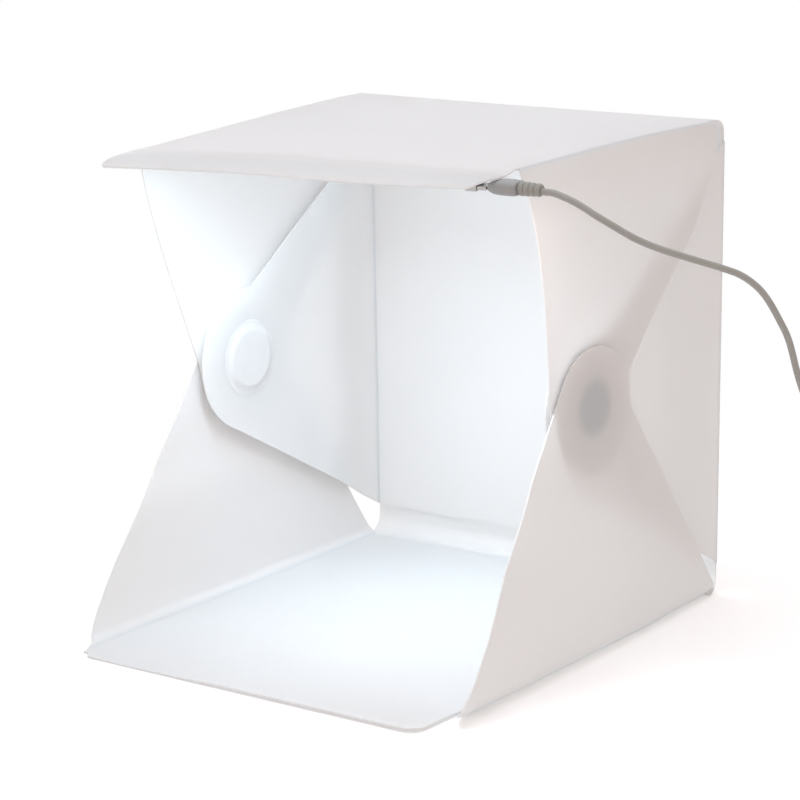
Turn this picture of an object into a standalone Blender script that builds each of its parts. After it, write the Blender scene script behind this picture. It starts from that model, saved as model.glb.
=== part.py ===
"""A folding light tent cube: a box of thin white plastic sheet, open at the front and held shut at the
sides by magnets, with a strip of lamps under its front hood and the cable that feeds it.

Metres, +Z up. +X is to the right across the open front, +Y to the back. The box stands on z = 0, with
the origin under its middle. The tent is shown put up, with its side flaps closed.
"""

from math import asin, atan2, cos, exp, hypot, pi, radians, sin, sqrt, tan

import bmesh
import bpy
import numpy as np

# The tent
height = 0.240
depth = 0.2445
crease_half_width = 0.108
sheet_thickness = 0.0008
clearance = 0.0003
bend_radius = 0.010
base_corner_radius = 0.012
layer_pitch = sheet_thickness + clearance

# The hood: the front of the top panel, which curls down past the side flaps
hood_setback = 0.0698
hood_start = -depth / 2 + hood_setback
hood_length = 0.0335
hood_end_angle = radians(30)
hood_corner_radius = 0.002

# The side flaps. They all meet at one magnet on each side, where the walls are drawn in a little.
magnet_y = 0.010
magnet_z = height / 2
draw_in = 0.0045
lower_bow_length = 0.060
upper_bow_start = 0.020
upper_bow_length = 0.080
back_bow_start = 0.008
back_bow_length = 0.040
tip_radius = 0.0316
lower_front_inset = 0.0140
lower_rear_inset = 0.0102
lower_foot_round = 0.005
upper_rear_inset = 0.0010
upper_shoulder = 0.012
upper_rear_waist = 0.020
upper_corner_round = 0.008
back_bottom = 0.0155
back_top_inset = 0.011
back_tip_radius = 0.036
back_upper_waist = 0.0275

# The upper flaps swell out beside their front edges, where nothing holds the bent sheet in.
swell_height = 0.0065
swell_start = 0.001
swell_ease_length = 0.006
swell_rise_length = 0.007
swell_fade_start = 0.060
swell_fade_length = 0.050
swell_lost_share = 0.42
swell_rear_share = 0.15
swell_clear_radius = 0.023
swell_clear_length = 0.024
swell_clear_down = 0.032
swell_clear_forward = 0.027

# The magnets and the round patches that hold them to the flaps
magnet_radius = 0.0130
magnet_thickness = 0.0010
patch_radius = 0.0195
patch_crown_radius = 0.0138
patch_brim_radius = 0.0165
patch_thickness = 0.0003

# The lamp strip under the hood, with its tape and its socket
strip_share_of_hood = 0.44
strip_length = 0.196
strip_width = 0.008
strip_thickness = 0.0010
tape_thickness = 0.0008
lamp_count = 20
lamp_length = 0.0050
lamp_width = 0.0030
lamp_thickness = 0.0009
end_lamp_inset = 0.0060
socket_length = 0.0062
socket_width = 0.0082
socket_height = 0.0032
socket_wall = 0.0004
socket_end_x = 0.1003

# The plug in that socket
plug_shell_width = 0.0068
plug_shell_height = 0.0018
plug_shell_wall = 0.0003
plug_shell_depth = 0.0045
plug_body_length = 0.0180
plug_body_width = 0.0100
plug_body_height = 0.0064
plug_body_round = 0.0022
relief_length = 0.0110
relief_root_radius = 0.0030
relief_end_radius = 0.0024
relief_rib_height = 0.0005
relief_rib_count = 3

# The cable
cord_diameter = 0.0030
cord_point_spacing = 0.0075
coil_centre_x = 0.2625
coil_centre_y = 0.0945
coil_outer_radius = 0.0200
coil_pitch = 0.0035
coil_turns = 4.5
coil_points_per_turn = 24
tail_length = 0.0190
tail_level_run = 0.0030
tie_thickness = 0.0005
tie_width = 0.0040
tie_turn_share = 0.75

# The plug at the cable's far end
far_relief_length = 0.0080
far_relief_radius = 0.0030
far_body_length = 0.0190
far_body_width = 0.0150
far_body_height = 0.0075
far_body_round = 0.0016
far_shell_length = 0.0140
far_shell_width = 0.0120
far_shell_height = 0.0045
far_shell_wall = 0.0003
far_shell_depth = 0.0105
far_tongue_height = 0.0018

# The hand-chosen route of the free cable, from the plug's strain relief to the coil
cord_route = [
    (0.1394, -0.0668, 0.2341), (0.1489, -0.0662, 0.2309),
    (0.1578, -0.0642, 0.2258), (0.1647, -0.0605, 0.2210), (0.1716, -0.0555, 0.2158),
    (0.1780, -0.0490, 0.2114), (0.1851, -0.0405, 0.2071), (0.1909, -0.0315, 0.2031),
    (0.1955, -0.0240, 0.1998), (0.2001, -0.0165, 0.1959), (0.2039, -0.0095, 0.1900),
    (0.2066, -0.0045, 0.1833), (0.2095, 0.0005, 0.1735), (0.2118, 0.0045, 0.1639),
    (0.2139, 0.0105, 0.1444), (0.2180, 0.0180, 0.1241), (0.2222, 0.0270, 0.1036),
    (0.2268, 0.0370, 0.0830), (0.2310, 0.0470, 0.0628), (0.2350, 0.0560, 0.0435),
    (0.2380, 0.0645, 0.0273), (0.2403, 0.0720, 0.0135), (0.2418, 0.0790, 0.0050),
    (0.2424, 0.0850, 0.0020),
]

# Counts of points and segments
bend_steps = 5
hood_steps = 8
curl_samples = 200
corner_steps = 4
flap_steps = 8
tip_steps = 18
swell_columns = 8
turned_steps = 28

tent = None
cutters = None


def start_scene():
    """Empty the scene and make one collection for the parts and one for the cutters."""
    global tent, cutters
    for old in list(bpy.data.objects):
        bpy.data.objects.remove(old)
    tent = bpy.data.collections.new("light_tent_cube")
    cutters = bpy.data.collections.new("cutters")
    for collection in (tent, cutters):
        bpy.context.scene.collection.children.link(collection)


def material(name, colour, roughness, metallic=0.0, glow=0.0):
    """A plain material of one finish."""
    made = bpy.data.materials.new(name)
    made.use_nodes = True
    shader = made.node_tree.nodes["Principled BSDF"]
    shader.inputs["Base Color"].default_value = (*colour, 1.0)
    shader.inputs["Roughness"].default_value = roughness
    shader.inputs["Metallic"].default_value = metallic
    shader.inputs["Emission Color"].default_value = (*colour, 1.0)
    shader.inputs["Emission Strength"].default_value = glow
    return made


def add(name, mesh, finish, holder=None):
    """Put a mesh or curve in the scene as one named part."""
    part = bpy.data.objects.new(name, mesh)
    tent.objects.link(part)
    if finish:
        mesh.materials.append(finish)
    part.parent = holder
    return part


def empty(name, place, turn=(0.0, 0.0, 0.0)):
    """A holder that carries parts in its own axes."""
    made = bpy.data.objects.new(name, None)
    made.location = place
    made.rotation_euler = turn
    tent.objects.link(made)
    return made


def smooth(mesh):
    mesh.shade_smooth()
    mesh.set_sharp_from_angle(angle=radians(35))


def sheet_of(name, rows, finish):
    """A sheet of even thickness through rows of as many points each."""
    last_row, last_column = len(rows) - 1, len(rows[0]) - 1
    grid = bmesh.new()
    bmesh.ops.create_grid(grid, x_segments=last_column, y_segments=last_row, size=1)
    for vertex in grid.verts:
        row = round((vertex.co.y + 1) / 2 * last_row)
        vertex.co = rows[row][round((vertex.co.x + 1) / 2 * last_column)]
    bmesh.ops.remove_doubles(grid, verts=grid.verts, dist=clearance / 10)
    mesh = bpy.data.meshes.new(name)
    grid.to_mesh(mesh)
    grid.free()
    sheet = add(name, mesh, finish)
    wall = sheet.modifiers.new("wall", "SOLIDIFY")
    wall.thickness = sheet_thickness
    wall.offset = 0
    wall.use_even_offset = True
    smooth(mesh)
    return sheet


def ruled_sheet(name, left_edge, right_edge, finish):
    """A sheet ruled straight across between two edges of as many points."""
    return sheet_of(name, list(zip(left_edge, right_edge)), finish)


def block(name, size, finish, holder=None, place=(0.0, 0.0, 0.0), rounding=0.0, segments=2):
    """A box of this size, with its edges rounded if asked."""
    cube = bmesh.new()
    bmesh.ops.create_cube(cube, size=1)
    bmesh.ops.scale(cube, vec=size, verts=cube.verts)
    mesh = bpy.data.meshes.new(name)
    cube.to_mesh(mesh)
    cube.free()
    part = add(name, mesh, finish, holder)
    part.location = place
    if rounding:
        edge = part.modifiers.new("edge", "BEVEL")
        edge.width = rounding
        edge.segments = segments
        smooth(mesh)
    return part


def cut(part, cutter):
    """Take the cutter's shape out of a part."""
    tent.objects.unlink(cutter)
    cutters.objects.link(cutter)
    cutter.hide_render = True
    cutter.display_type = "WIRE"
    hole = part.modifiers.new(cutter.name, "BOOLEAN")
    hole.operation = "DIFFERENCE"
    hole.object = cutter


def turned(name, profile, finish, holder=None, place=(0.0, 0.0, 0.0), turn=(0.0, 0.0, 0.0)):
    """A profile of (radius, height) points, listed from the top down its outer side, turned about Z."""
    mesh = bpy.data.meshes.new(name)
    edges = [(n, n + 1) for n in range(len(profile) - 1)]
    mesh.from_pydata([(radius, 0.0, level) for radius, level in profile], edges, [])
    part = add(name, mesh, finish, holder)
    part.location = place
    part.rotation_euler = turn
    lathe = part.modifiers.new("lathe", "SCREW")
    lathe.steps = turned_steps
    lathe.render_steps = turned_steps
    lathe.use_merge_vertices = True
    lathe.merge_threshold = clearance / 10
    lathe.use_smooth_shade = True
    return part


def arc(centre, radius, first, last, steps):
    """Points (y, z) along an arc, with its angles from +Y towards +Z."""
    return [
        (centre[0] + radius * cos(angle), centre[1] + radius * sin(angle))
        for angle in np.linspace(first, last, steps + 1)
    ]


def corner_inset(run, radius):
    """How far a rounded corner draws the side edge in, at this run from the end edge."""
    inside = max(radius - run, 0.0)
    return radius - sqrt(radius**2 - inside**2)


def corner_runs(radius):
    """Runs from the end edge at which a rounded corner needs a point."""
    return [radius * (1 - cos(angle)) for angle in np.linspace(0, pi / 2, corner_steps + 1)]


# The middle of the sheet is what the paths below follow.
half_sheet = sheet_thickness / 2
bend_middle = bend_radius - half_sheet
bend_y = depth / 2 - bend_radius
low_bend = (bend_y, bend_radius)
high_bend = (bend_y, height - bend_radius)
half_gap_angle = clearance / 2 / bend_middle
panel_half_width = crease_half_width - half_sheet - clearance
back_crease = crease_half_width - layer_pitch
back_half_width = back_crease - half_sheet - clearance


def hood_point(run):
    """(y, z, angle) of the sheet's middle this far along the hood: its slope grows as the square."""
    steps = np.linspace(0, run, curl_samples)
    angles = hood_end_angle * (steps / hood_length) ** 2
    y = hood_start - run * float(np.cos(angles).mean())
    z = height - half_sheet - run * float(np.sin(angles).mean())
    return y, z, hood_end_angle * (run / hood_length) ** 2


def panel(name, path, half_widths, finish):
    """A panel of the box, from its path (y, z) in side view and its half width along that path."""
    left = [(-half, y, z) for half, (y, z) in zip(half_widths, path)]
    right = [(half, y, z) for half, (y, z) in zip(half_widths, path)]
    return ruled_sheet(name, left, right, finish)


def make_base_panel(finish):
    """Flat on the table, with round front corners, and curled up at the back as far as mid bend."""
    runs = corner_runs(base_corner_radius)
    flat = [(-depth / 2 + run, half_sheet) for run in runs]
    curl = arc(low_bend, bend_middle, -pi / 2, -pi / 4 - half_gap_angle, bend_steps)
    halves = [panel_half_width - corner_inset(run, base_corner_radius) for run in runs]
    panel("base_panel", flat + curl, halves + [panel_half_width] * len(curl), finish)


def make_back_panel(finish):
    """Upright, with half of each bend at its ends."""
    foot = arc(low_bend, bend_middle, -pi / 4 + half_gap_angle, 0, bend_steps)
    head = arc(high_bend, bend_middle, 0, pi / 4 - half_gap_angle, bend_steps)
    panel("back_panel", foot + head, [back_half_width] * len(foot + head), finish)


def make_top_panel(finish):
    """Level from mid bend to the hood, which curls down in front."""
    curl = arc(high_bend, bend_middle, pi / 4 + half_gap_angle, pi / 2, bend_steps)
    plain = hood_length - hood_corner_radius
    runs = list(np.linspace(0, plain, hood_steps))
    runs += [hood_length - run for run in reversed(corner_runs(hood_corner_radius)[:-1])]
    hood = [hood_point(run)[:2] for run in runs]
    halves = [panel_half_width] * len(curl)
    halves += [panel_half_width - corner_inset(hood_length - run, hood_corner_radius) for run in runs]
    panel("top_panel", curl + hood, halves, finish)


def flap_edge(foot, shoulder, waist, reach, radius, run):
    """How far the flap reaches to one side of its magnet, at this run from its crease.

    The side drops straight over the shoulder, then runs straight past the magnet at the distance
    called waist, and ends in the round tip about the magnet.
    """
    fall = reach - shoulder
    span = hypot(foot, fall)
    lean = atan2(fall, foot) + asin(waist / span)
    touch = shoulder + sqrt(span**2 - waist**2) * sin(lean)
    straight = foot - max(run - shoulder, 0.0) / tan(lean)
    chord = sqrt(max(radius**2 - (run - reach) ** 2, 0.0))
    return chord if run > touch else max(straight, chord)


def flap_rows(reach, radius, corner=0.0):
    """Runs from the crease: even to the tip circle, then closer together round it."""
    foot = corner_runs(corner)[:-1] if corner else []
    even = np.linspace(corner, reach - radius, flap_steps + 1)
    tip = [reach - radius * cos(angle) for angle in np.linspace(0, pi, tip_steps + 1)[1:]]
    return foot + list(even) + tip


def bowed(crease_x, tip_x, run, start, length):
    """Where a flap lies sideways: it leaves its crease's x at the start and reaches the tip's x."""
    share = min(max(run - start, 0.0) / length, 1.0)
    return crease_x + (tip_x - crease_x) * share * share * (3 - 2 * share)


# From one flap's middle to the next over a magnet: a sheet, a magnet, its patch and three clearances.
stack_step = sheet_thickness + magnet_thickness + patch_thickness + 3 * clearance
lower_tip_x = crease_half_width + stack_step - draw_in
upper_tip_x = crease_half_width - draw_in
back_tip_x = crease_half_width - stack_step - draw_in


def eased(share):
    """A smooth step from 0 to 1."""
    share = np.clip(share, 0.0, 1.0)
    return share * share * (3 - 2 * share)


def swell(run, along, across):
    """How far the upper flap's sheet stands out of its bowed shape at a point.

    It eases in and rises as one less an exponential of the run, fades further down and towards the
    rear, where across is 1, and is nothing where the lower flap's patch lies and passes as the back
    tilts away.
    """
    past = max(run - swell_start, 0.0)
    rise = eased(past / swell_ease_length) * (1 - exp(-past / swell_rise_length))
    fade = 1 - swell_lost_share * eased((run - swell_fade_start) / swell_fade_length)
    rearward = 1 - (1 - swell_rear_share) * eased(across)
    down = run - (height - magnet_z)
    passed = down * swell_clear_down - along * swell_clear_forward
    passed = np.clip(passed / hypot(swell_clear_down, swell_clear_forward) ** 2, 0.0, 1.0)
    apart = hypot(down - swell_clear_down * passed, along + swell_clear_forward * passed)
    return swell_height * rise * fade * rearward * eased((apart - swell_clear_radius) / swell_clear_length)


def make_lower_flap(side, word, finish):
    """Hinged on the base, outermost."""
    front_foot = magnet_y + depth / 2 - lower_front_inset
    rear_foot = depth / 2 - lower_rear_inset - magnet_y
    edges = ([], [])
    for run in flap_rows(magnet_z, tip_radius, lower_foot_round):
        x = side * bowed(crease_half_width, lower_tip_x, run, 0.0, lower_bow_length)
        front = flap_edge(front_foot, 0.0, tip_radius, magnet_z, tip_radius, run)
        rear = flap_edge(rear_foot, 0.0, tip_radius, magnet_z, tip_radius, run)
        inset = corner_inset(run, lower_foot_round)
        edges[0].append((x, magnet_y - front + inset, run))
        edges[1].append((x, magnet_y + rear - inset, run))
    ruled_sheet(f"lower_flap_{word}", *edges, finish)


def make_upper_flap(side, word, finish):
    """Hinged on the top panel from the hood to the back, between the other two flaps."""
    reach = height - magnet_z
    front_foot = magnet_y - hood_start
    rear_foot = depth / 2 - upper_rear_inset - magnet_y
    rows = []
    for run in flap_rows(reach, tip_radius, upper_corner_round):
        x = bowed(crease_half_width, upper_tip_x, run, upper_bow_start, upper_bow_length)
        front = flap_edge(front_foot, 0.0, tip_radius, reach, tip_radius, run)
        rear = flap_edge(rear_foot, upper_shoulder, upper_rear_waist, reach, tip_radius, run)
        rear -= corner_inset(run, upper_corner_round)
        row = []
        for across in np.linspace(0.0, 1.0, swell_columns + 1):
            along = -front + (front + rear) * across
            row.append((side * (x + swell(run, along, across)), magnet_y + along, height - run))
        rows.append(row)
    sheet_of(f"upper_flap_{word}", rows, finish)


def make_back_flap(side, word, finish):
    """Hinged on the back panel, innermost."""
    crease_y = depth / 2
    reach = crease_y - magnet_y
    top_foot = height - back_top_inset - magnet_z
    edges = ([], [])
    for run in flap_rows(reach, back_tip_radius):
        x = side * bowed(back_crease, back_tip_x, run, back_bow_start, back_bow_length)
        below = flap_edge(magnet_z - back_bottom, 0.0, back_tip_radius, reach, back_tip_radius, run)
        above = flap_edge(top_foot, 0.0, back_upper_waist, reach, back_tip_radius, run)
        edges[0].append((x, crease_y - run, magnet_z - below))
        edges[1].append((x, crease_y - run, magnet_z + above))
    ruled_sheet(f"back_flap_{word}", *edges, finish)


def make_magnet(side, word, layer, sheet_middle, metal, film):
    """A flat magnet on a flap's inner face, under a round patch whose brim lies on the sheet."""
    inner_face = sheet_middle - half_sheet
    turn = (0.0, -side * pi / 2, 0.0)
    place = (side * inner_face, magnet_y, magnet_z)
    low = clearance
    high = low + magnet_thickness
    crown = high + clearance
    rounding = magnet_thickness / 4
    disc = [
        (0.0, high), (magnet_radius - rounding, high), (magnet_radius, high - rounding),
        (magnet_radius, low + rounding), (magnet_radius - rounding, low), (0.0, low),
    ]
    turned(f"magnet_{layer}_{word}", disc, metal, None, place, turn)
    patch = [
        (0.0, crown + patch_thickness), (patch_crown_radius, crown + patch_thickness),
        (patch_brim_radius, clearance + patch_thickness), (patch_radius, clearance + patch_thickness),
        (patch_radius, clearance), (patch_brim_radius, clearance),
        (patch_crown_radius, crown), (0.0, crown),
    ]
    turned(f"magnet_patch_{layer}_{word}", patch, film, None, place, turn)


def make_lamp_strip(holder, board_finish, tape_finish, lamp_finish, metal):
    """Tape, board and lamps in layers under the hood, and the socket at the board's right end."""
    tape_z = -clearance - tape_thickness / 2
    board_z = tape_z - tape_thickness / 2 - clearance - strip_thickness / 2
    lamp_z = board_z - strip_thickness / 2 - clearance - lamp_thickness / 2
    socket_z = board_z - strip_thickness / 2 - clearance - socket_height / 2
    tape_size = (strip_length, strip_width, tape_thickness)
    board_size = (strip_length, strip_width, strip_thickness)
    board_x = socket_end_x - strip_length / 2
    block("lamp_strip_tape", tape_size, tape_finish, holder, (board_x, 0.0, tape_z))
    block("lamp_strip_board", board_size, board_finish, holder, (board_x, 0.0, board_z))
    first = socket_end_x - strip_length + end_lamp_inset
    last = socket_end_x - socket_length - end_lamp_inset
    lamp_pitch = (last - first) / (lamp_count - 1)
    for number in range(lamp_count):
        size = (lamp_length, lamp_width, lamp_thickness)
        place = (first + number * lamp_pitch, 0.0, lamp_z)
        block(f"lamp_{number + 1:02d}", size, lamp_finish, holder, place)
    size = (socket_length, socket_width, socket_height)
    place = (socket_end_x - socket_length / 2, 0.0, socket_z)
    socket = block("power_socket", size, metal, holder, place, socket_wall, 1)
    room = (socket_length, socket_width - 2 * socket_wall, socket_height - 2 * socket_wall)
    mouth = (place[0] + socket_wall, place[1], place[2])
    cut(socket, block("socket_room", room, None, holder, mouth))
    return socket_z


def make_plug(holder, socket_z, metal, moulding, relief_finish):
    """The small plug: its metal shell in the socket, its moulded body and its ribbed strain relief.

    It returns the x at which the cable leaves the relief.
    """
    inner = socket_end_x - socket_length + socket_wall + clearance
    shell_length = socket_length + clearance + plug_body_round / 2
    body_x = inner + shell_length + clearance
    size = (shell_length, plug_shell_width, plug_shell_height)
    shell = block(
        "plug_shell", size, metal, holder, (inner + shell_length / 2, 0.0, socket_z), plug_shell_wall, 1
    )
    room = (
        plug_shell_depth, plug_shell_width - 2 * plug_shell_wall, plug_shell_height - 2 * plug_shell_wall
    )
    mouth = (inner + plug_shell_depth / 2 - clearance, 0.0, socket_z)
    cut(shell, block("plug_shell_room", room, None, holder, mouth))
    size = (plug_body_length, plug_body_width, plug_body_height)
    place = (body_x + plug_body_length / 2, 0.0, socket_z)
    block("plug_body", size, moulding, holder, place, plug_body_round, 3)
    relief_x = body_x + plug_body_length + clearance
    turned(
        "plug_strain_relief", relief_profile(relief_length, relief_root_radius, relief_end_radius),
        relief_finish, holder, (relief_x, 0.0, socket_z), (0.0, pi / 2, 0.0),
    )
    return relief_x + relief_length + clearance


def relief_profile(length, root, end):
    """A tapered strain relief whose ribs stand proud of its taper, from its end down to its root."""
    bay = length / (2 * relief_rib_count + 1)
    profile = [(0.0, length)]
    for number in range(2 * relief_rib_count + 1):
        top = length - number * bay
        rise = relief_rib_height if number % 2 == 0 else 0.0
        for level in (top, top - bay):
            radius = root + (end - root) * level / length
            profile.append((radius + rise, level))
    profile.append((0.0, 0.0))
    return profile


def smooth_route(route, spacing):
    """Points at even spacing along the smooth curve that passes through the route's points."""
    points = np.array(route)
    slopes = np.gradient(points, axis=0)
    slopes[0] = points[1] - points[0]
    slopes[-1] = points[-1] - points[-2]
    fine = []
    for a, b, slope_a, slope_b in zip(points, points[1:], slopes, slopes[1:]):
        t = np.linspace(0, 1, 20, endpoint=False)[:, None]
        fine.append(
            (2 * t**3 - 3 * t**2 + 1) * a + (t**3 - 2 * t**2 + t) * slope_a
            + (3 * t**2 - 2 * t**3) * b + (t**3 - t**2) * slope_b
        )
    fine = np.vstack([*fine, points[-1:]])
    along = np.concatenate([[0.0], np.cumsum(np.linalg.norm(np.diff(fine, axis=0), axis=1))])
    even = np.linspace(0, along[-1], round(along[-1] / spacing) + 1)
    return np.column_stack([np.interp(even, along, fine[:, axis]) for axis in range(3)])


def tube(name, points, diameter, resolution, finish):
    """A round tube with filled caps along these points."""
    curve = bpy.data.curves.new(name, "CURVE")
    curve.dimensions = "3D"
    curve.bevel_depth = diameter / 2
    curve.bevel_resolution = resolution
    curve.use_fill_caps = True
    spline = curve.splines.new("POLY")
    spline.points.add(len(points) - 1)
    spline.points.foreach_set("co", np.column_stack([points, np.ones(len(points))]).ravel())
    return add(name, curve, finish)


coil_low = tie_thickness + clearance + cord_diameter / 2
coil_high = coil_low + coil_pitch
far_axis = far_body_height / 2


def coil_radius(turn):
    """The spiral's radius: in by one pitch a turn over half the turns, and out again."""
    middle = coil_turns / 2
    return coil_outer_radius - coil_pitch * (middle - abs(turn - middle))


def coil_level(turn):
    """The height of the cord's middle: it climbs a layer in the half turn where the spiral reverses."""
    share = min(max((turn - coil_turns / 2) * 2 + 0.5, 0.0), 1.0)
    return coil_low + (coil_high - coil_low) * share * share * (3 - 2 * share)


def coil_point(turn):
    """A point of the coil. It starts on the coil's left side, heading back, and winds clockwise."""
    angle = pi - 2 * pi * turn
    radius = coil_radius(turn)
    return (
        coil_centre_x + radius * cos(angle), coil_centre_y + radius * sin(angle), coil_level(turn),
    )


def coil_points():
    """The lead-in, the turns, and the tail that comes down to the far plug's height."""
    turns = np.linspace(0, coil_turns, round(coil_turns * coil_points_per_turn) + 1)
    start_x = coil_centre_x - coil_outer_radius
    end_x = coil_centre_x + coil_outer_radius
    points = [(start_x, coil_centre_y - cord_diameter, coil_low)]
    points += [coil_point(turn) for turn in turns]
    fall = tail_length - tail_level_run - cord_diameter
    for share in np.linspace(0, 1, 6):
        run = tail_level_run + fall * share
        drop = (coil_high - far_axis) * share * share * (3 - 2 * share)
        points.append((end_x, coil_centre_y - run, coil_high - drop))
    points.append((end_x, coil_centre_y - tail_length, far_axis))
    return np.array(points)


def least_gap(points, diameter):
    """The least gap between stretches of a tube that aren't next to each other along it."""
    fine = smooth_route(points, diameter / 3)
    apart = np.linalg.norm(fine[:, None] - fine[None, :], axis=2)
    index = np.arange(len(fine))
    far = np.abs(index[:, None] - index[None, :]) * diameter / 3 > 3 * diameter
    return float(apart[far].min() - diameter)


def make_tie(finish):
    """A band round the coil's four strands, square to them."""
    turns = [n + tie_turn_share for n in range(int(coil_turns))]
    radii = [coil_radius(turn) for turn in turns]
    room = cord_diameter / 2 + clearance
    inner = min(radii) - room
    outer = max(radii) + room
    middle = (inner + outer) / 2
    opening = (tie_width + tie_thickness, outer - inner, coil_high - coil_low + 2 * room)
    size = (tie_width, outer - inner + 2 * tie_thickness, opening[2] + 2 * tie_thickness)
    angle = pi - 2 * pi * tie_turn_share
    place = (
        coil_centre_x + middle * cos(angle), coil_centre_y + middle * sin(angle),
        (coil_low + coil_high) / 2,
    )
    tie = block("cord_tie", size, finish, None, place)
    cut(tie, block("tie_opening", opening, None, None, place))


def make_far_plug(metal, moulding, tongue):
    """The flat plug at the cable's far end, lying beside the coil and pointing to the front."""
    x = coil_centre_x + coil_outer_radius
    relief_y = coil_centre_y - tail_length - clearance
    body_y = relief_y - far_relief_length - clearance
    shell_y = body_y - far_body_length - clearance
    end_radius = (far_relief_radius + cord_diameter / 2) / 2
    profile = [
        (0.0, far_relief_length), (far_relief_radius, far_relief_length), (end_radius, 0.0), (0.0, 0.0),
    ]
    turned("far_plug_strain_relief", profile, moulding, None, (x, relief_y, far_axis), (pi / 2, 0.0, 0.0))
    size = (far_body_width, far_body_length, far_body_height)
    place = (x, body_y - far_body_length / 2, far_axis)
    block("far_plug_body", size, moulding, None, place, far_body_round, 3)
    size = (far_shell_width, far_shell_length, far_shell_height)
    place = (x, shell_y - far_shell_length / 2, far_axis)
    shell = block("far_plug_shell", size, metal, None, place, far_shell_wall, 1)
    room = (
        far_shell_width - 2 * far_shell_wall, far_shell_depth, far_shell_height - 2 * far_shell_wall,
    )
    mouth = (x, shell_y - far_shell_length + far_shell_depth / 2 - clearance, far_axis)
    cut(shell, block("far_plug_room", room, None, None, mouth))
    size = (room[0] - 2 * clearance, far_shell_depth - 2 * clearance, far_tongue_height)
    low = far_axis + far_shell_height / 2 - far_shell_wall - clearance - far_tongue_height / 2
    place = (x, shell_y - far_shell_length + far_shell_depth / 2, low)
    block("far_plug_tongue", size, tongue, None, place)


def make_tent():
    start_scene()
    sheet = material("white_sheet", (0.90, 0.89, 0.89), 0.45)
    patch = material("patch_film", (0.92, 0.92, 0.93), 0.35)
    magnet = material("magnet", (0.45, 0.45, 0.46), 0.35, 1.0)
    board = material("lamp_board", (0.90, 0.91, 0.90), 0.35)
    tape = material("foam_tape", (0.86, 0.86, 0.84), 0.80)
    lamp = material("lamp", (1.0, 0.97, 0.90), 0.30, 0.0, 4.0)
    plated = material("plated_steel", (0.62, 0.62, 0.61), 0.28, 1.0)
    moulding = material("grey_moulding", (0.50, 0.53, 0.53), 0.50)
    relief = material("beige_relief", (0.46, 0.45, 0.41), 0.55)
    jacket = material("cord_jacket", (0.38, 0.37, 0.34), 0.50)
    tongue = material("plug_tongue", (0.85, 0.85, 0.83), 0.40)

    make_base_panel(sheet)
    make_back_panel(sheet)
    make_top_panel(sheet)
    for side, word in ((-1, "left"), (1, "right")):
        make_lower_flap(side, word, sheet)
        make_upper_flap(side, word, sheet)
        make_back_flap(side, word, sheet)
        make_magnet(side, word, "lower", lower_tip_x, magnet, patch)
        make_magnet(side, word, "upper", upper_tip_x, magnet, patch)
        make_magnet(side, word, "back", back_tip_x, magnet, patch)

    y, z, angle = hood_point(hood_length * strip_share_of_hood)
    face = (0.0, y + half_sheet * sin(angle), z - half_sheet * cos(angle))
    strip_holder = empty("strip_holder", face, (angle, 0.0, 0.0))
    socket_z = make_lamp_strip(strip_holder, board, tape, lamp, plated)
    exit_x = make_plug(strip_holder, socket_z, plated, moulding, relief)
    exit_point = (exit_x, face[1] - socket_z * sin(angle), face[2] + socket_z * cos(angle))
    straight_on = (exit_x + cord_diameter, exit_point[1], exit_point[2])

    coil = coil_points()
    start = (coil[0][0], coil[0][1] - clearance, coil[0][2])
    before = (coil[0][0], start[1] - cord_diameter, coil[0][2])
    route = [exit_point, straight_on, *cord_route, before, start]
    route = smooth_route(route, cord_point_spacing)
    tube("cord", route, cord_diameter, 2, jacket)
    tube("cord_coil", coil, cord_diameter, 1, jacket)
    print("cord_coil: least gap to itself", round(least_gap(coil, cord_diameter), 5), "m")
    make_tie(relief)
    make_far_plug(plated, moulding, tongue)


make_tent()
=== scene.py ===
"""Looks of the light tent cube: thin white translucent sheet folded into a box, open at the front.

The side flaps are held by flat magnets under film patches. A strip of lamps glows under the front
hood, and a thin grey cable runs from its plug to a small coil beside the tent.

Metres, +Z up. +X is to the right across the open front and +Y to the back. The tent stands on z = 0.
"""

from math import asin, atan2, cos, hypot, pi, radians, sin, sqrt, tan

import bmesh
import bpy
import numpy as np
from mathutils import Matrix, Vector


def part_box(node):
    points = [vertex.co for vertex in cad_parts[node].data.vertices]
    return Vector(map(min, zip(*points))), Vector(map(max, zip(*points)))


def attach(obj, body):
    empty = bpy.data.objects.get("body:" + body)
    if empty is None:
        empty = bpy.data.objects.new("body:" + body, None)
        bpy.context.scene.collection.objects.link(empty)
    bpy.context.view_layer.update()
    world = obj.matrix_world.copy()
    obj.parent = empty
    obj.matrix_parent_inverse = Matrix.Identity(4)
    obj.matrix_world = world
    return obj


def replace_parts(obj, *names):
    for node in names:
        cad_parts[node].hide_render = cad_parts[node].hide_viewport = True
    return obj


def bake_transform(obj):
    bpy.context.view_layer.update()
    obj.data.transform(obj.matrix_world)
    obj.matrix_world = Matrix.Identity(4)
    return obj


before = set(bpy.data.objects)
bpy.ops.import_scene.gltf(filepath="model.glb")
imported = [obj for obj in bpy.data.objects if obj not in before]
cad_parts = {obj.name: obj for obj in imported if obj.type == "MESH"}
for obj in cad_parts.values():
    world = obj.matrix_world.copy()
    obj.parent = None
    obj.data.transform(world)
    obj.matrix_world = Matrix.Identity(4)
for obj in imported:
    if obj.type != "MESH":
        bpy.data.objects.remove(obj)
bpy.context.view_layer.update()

# The tent's sizes, as in the solid model
height = 0.240
depth = 0.2445
crease_half_width = 0.108
sheet_thickness = 0.0008
clearance = 0.0003
bend_radius = 0.010
crease_radius = 0.0012
seam_z = 0.0145
hood_start = -0.05245
hood_length = 0.0335
hood_end_angle = radians(30)
magnet_y = 0.010
magnet_z = 0.120
draw_in = 0.0045
lower_bow_length = 0.060
upper_bow_start = 0.020
upper_bow_length = 0.080
back_bow_start = 0.008
back_bow_length = 0.040
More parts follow.
